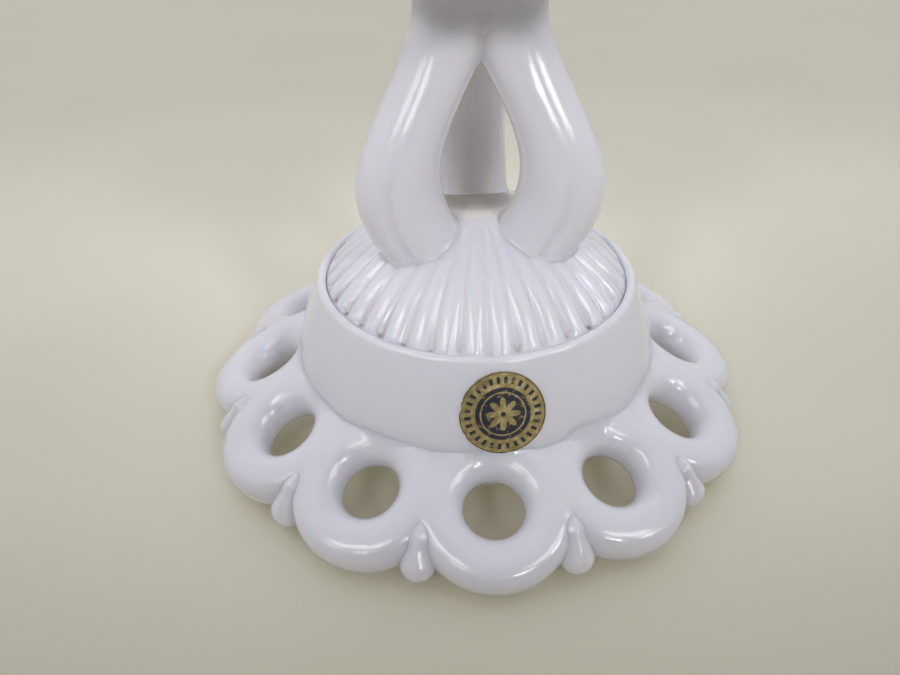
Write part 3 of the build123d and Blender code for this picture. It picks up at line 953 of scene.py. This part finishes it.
# ---------------------------------------------------------------------------
# Floor, light, camera
# ---------------------------------------------------------------------------
def stage_floor():
    m, nt, b = new_material("pale_table")
    tc = node(nt, "ShaderNodeTexCoord")
    n = node(nt, "ShaderNodeTexNoise")
    n.inputs["Scale"].default_value = 6.0
    n.inputs["Detail"].default_value = 3.0
    nt.links.new(tc.outputs["Object"], n.inputs["Vector"])
    rp = ramp(nt, [(0.3, (0.57, 0.545, 0.455, 1)), (0.7, (0.62, 0.595, 0.505, 1))])
    nt.links.new(n.outputs["Fac"], rp.inputs["Fac"])
    sy = node(nt, "ShaderNodeSeparateXYZ")
    nt.links.new(tc.outputs["Object"], sy.inputs["Vector"])
    my = node(nt, "ShaderNodeMapRange")
    my.inputs["From Min"].default_value = -0.20
    my.inputs["From Max"].default_value = 0.50
    nt.links.new(sy.outputs["Y"], my.inputs["Value"])
    # painted shadow in front of the object and a painted, slightly cool brightening around and behind it, standing in
    # for the sheen of the table
    painted_floor_light = ramp(nt, [(0.0, (0.62, 0.62, 0.61, 1)), (0.13, (0.74, 0.74, 0.73, 1)), (0.26, (1.10, 1.11, 1.13, 1)),
                     (0.42, (1.20, 1.21, 1.25, 1)), (0.72, (1.04, 1.05, 1.08, 1)), (1.0, (1.02, 1.03, 1.06, 1))], "EASE")
    nt.links.new(my.outputs["Result"], painted_floor_light.inputs["Fac"])
    fm = node(nt, "ShaderNodeMix", data_type="RGBA", blend_type="MULTIPLY")
    fm.inputs["Factor"].default_value = 1.0
    nt.links.new(rp.outputs["Color"], fm.inputs["A"])
    nt.links.new(painted_floor_light.outputs["Color"], fm.inputs["B"])
    nt.links.new(fm.outputs["Result"], b.inputs["Base Color"])
    b.inputs["Roughness"].default_value = 0.55
    b.inputs["IOR"].default_value = 1.55
    # a faint yellow glow: painted light that brightens the floor in the shade seen through the holes of the lace edge
    b.inputs["Emission Color"].default_value = (1.0, 0.90, 0.56, 1)
    b.inputs["Emission Strength"].default_value = 0.085
    s = 3000.0
    V = np.array([(-s, -s, 0), (s, -s, 0), (s, s, 0), (-s, s, 0)], float)
    ob = add_mesh("floor", V, np.array([[0, 1, 2, 3]]), [m], sharp=0)


stage_floor()


def strip(name, loc, target, sx, sy, power, colour=(1, 1, 1), fill=False):
    d = bpy.data.lights.new(name, "AREA")
    d.shape = "RECTANGLE"
    d.size, d.size_y = sx, sy
    d.energy = power
    d.color = colour
    ob = bpy.data.objects.new(name, d)
    bpy.context.scene.collection.objects.link(ob)
    ob.location = loc
    v = Vector(target) - Vector(loc)
    ob.rotation_euler = v.to_track_quat("-Z", "Y").to_euler()
    ob.visible_camera = False
    ob.visible_diffuse = fill
    return ob


def toward(az, el, dist, aim=(0.0, -0.02, 0.05)):
    """A place at the given bearing (0 is +Y, 90 is +X) and height angle from the object."""
    a, e = math.radians(az), math.radians(el)
    return (aim[0] + dist * math.cos(e) * math.sin(a), aim[1] + dist * math.cos(e) * math.cos(a), aim[2] + dist * math.sin(e))


# two long ceiling panels behind the camera, with a gap between them
AIM = (0.0, -0.02, 0.03)
strip("tube_left", (-0.85, -0.90, 1.50), AIM, 1.25, 0.42, 8.6)
strip("tube_right", (1.15, -0.98, 1.50), AIM, 1.25, 0.42, 9.4)
# the next rows of panels, further down the room
for nm, az, el, pw in (("far_right_in", 157, 25, 4.0), ("far_right_out", 122, 28, 3.3),
                       ("far_left_in", -149, 30, 1.9), ("far_left_out", -121, 32, 1.4)):
    strip(nm, toward(az, el, 1.6), AIM, 0.42, 0.25, pw)

def spot(name, az, el, dist, aim, angle, radius, power):
    d = bpy.data.lights.new(name, "SPOT")
    d.energy = power
    d.spot_size = math.radians(angle)
    d.spot_blend = 1.0
    d.shadow_soft_size = radius
    ob = bpy.data.objects.new(name, d)
    bpy.context.scene.collection.objects.link(ob)
    ob.location = toward(az, el, dist, aim)
    ob.rotation_euler = (Vector(aim) - ob.location).to_track_quat("-Z", "Y").to_euler()
    ob.visible_camera = False
    ob.visible_glossy = False
    return ob


# fill on the stem
spot("stem_fill_left", -150, 34, 0.7, (-0.004, -0.010, 0.062), 15.5, 0.07, 7.8)
spot("stem_fill_right", 150, 34, 0.7, (0.004, -0.010, 0.062), 15.5, 0.07, 7.8)

# the white room: bright above and behind the object, dim on the camera's side
w = bpy.data.worlds.new("studio") if not bpy.context.scene.world else bpy.context.scene.world
bpy.context.scene.world = w
w.use_nodes = True
wt = w.node_tree
bg = wt.nodes.get("Background") or wt.nodes.new("ShaderNodeBackground")
wc = node(wt, "ShaderNodeTexCoord")
ws = node(wt, "ShaderNodeSeparateXYZ")
wt.links.new(wc.outputs["Generated"], ws.inputs["Vector"])
wr = ramp(wt, [(0.0, (0.62, 0.62, 0.64, 1)), (0.30, (0.80, 0.80, 0.82, 1)), (1.0, (1.0, 1.0, 1.03, 1))])
wt.links.new(ws.outputs["Z"], wr.inputs["Fac"])
wy = node(wt, "ShaderNodeMapRange")
wy.inputs["From Min"].default_value = -1.0
wy.inputs["From Max"].default_value = 1.0
wt.links.new(ws.outputs["Y"], wy.inputs["Value"])
wf = ramp(wt, [(0.0, (0.06, 0.06, 0.06, 1)), (0.26, (0.15, 0.15, 0.15, 1)), (0.46, (1.04, 1.04, 1.04, 1)), (1.0, (1.24, 1.24, 1.24, 1))])
wt.links.new(wy.outputs["Result"], wf.inputs["Fac"])
wm = node(wt, "ShaderNodeMix", data_type="RGBA", blend_type="MULTIPLY")
wm.inputs["Factor"].default_value = 1.0
wt.links.new(wr.outputs["Color"], wm.inputs["A"])
wt.links.new(wf.outputs["Color"], wm.inputs["B"])
wt.links.new(wm.outputs["Result"], bg.inputs["Color"])
bg.inputs["Strength"].default_value = 0.88

cam_d = bpy.data.cameras.new("camera")
cam = bpy.data.objects.new("camera", cam_d)
bpy.context.scene.collection.objects.link(cam)
cam_d.sensor_width = 36.0
cam_d.lens = 754.0 * 36.0 / 900.0
cam_d.clip_start = 0.01
cam_d.clip_end = 50
pitch, yaw, roll = 0.616, 0.0399, -0.0109
cp, sp, cy, sy = math.cos(pitch), math.sin(pitch), math.cos(yaw), math.sin(yaw)
F = Vector((-sy * cp, cy * cp, -sp))
RT = Vector((cy, sy, 0))
UP = Vector((-sy * sp, cy * sp, cp))
R2 = RT * math.cos(roll) + UP * math.sin(roll)
U2 = -RT * math.sin(roll) + UP * math.cos(roll)
M = Matrix((R2, U2, -F)).transposed().to_4x4()
M.translation = Vector((0.0, -160.97 * MM, (RIM_Z + 92.46) * MM))
cam.matrix_world = Matrix.Rotation(math.radians(-4.97), 4, "Z") @ M
bpy.context.scene.camera = cam
bpy.context.scene.view_settings.view_transform = "Standard"
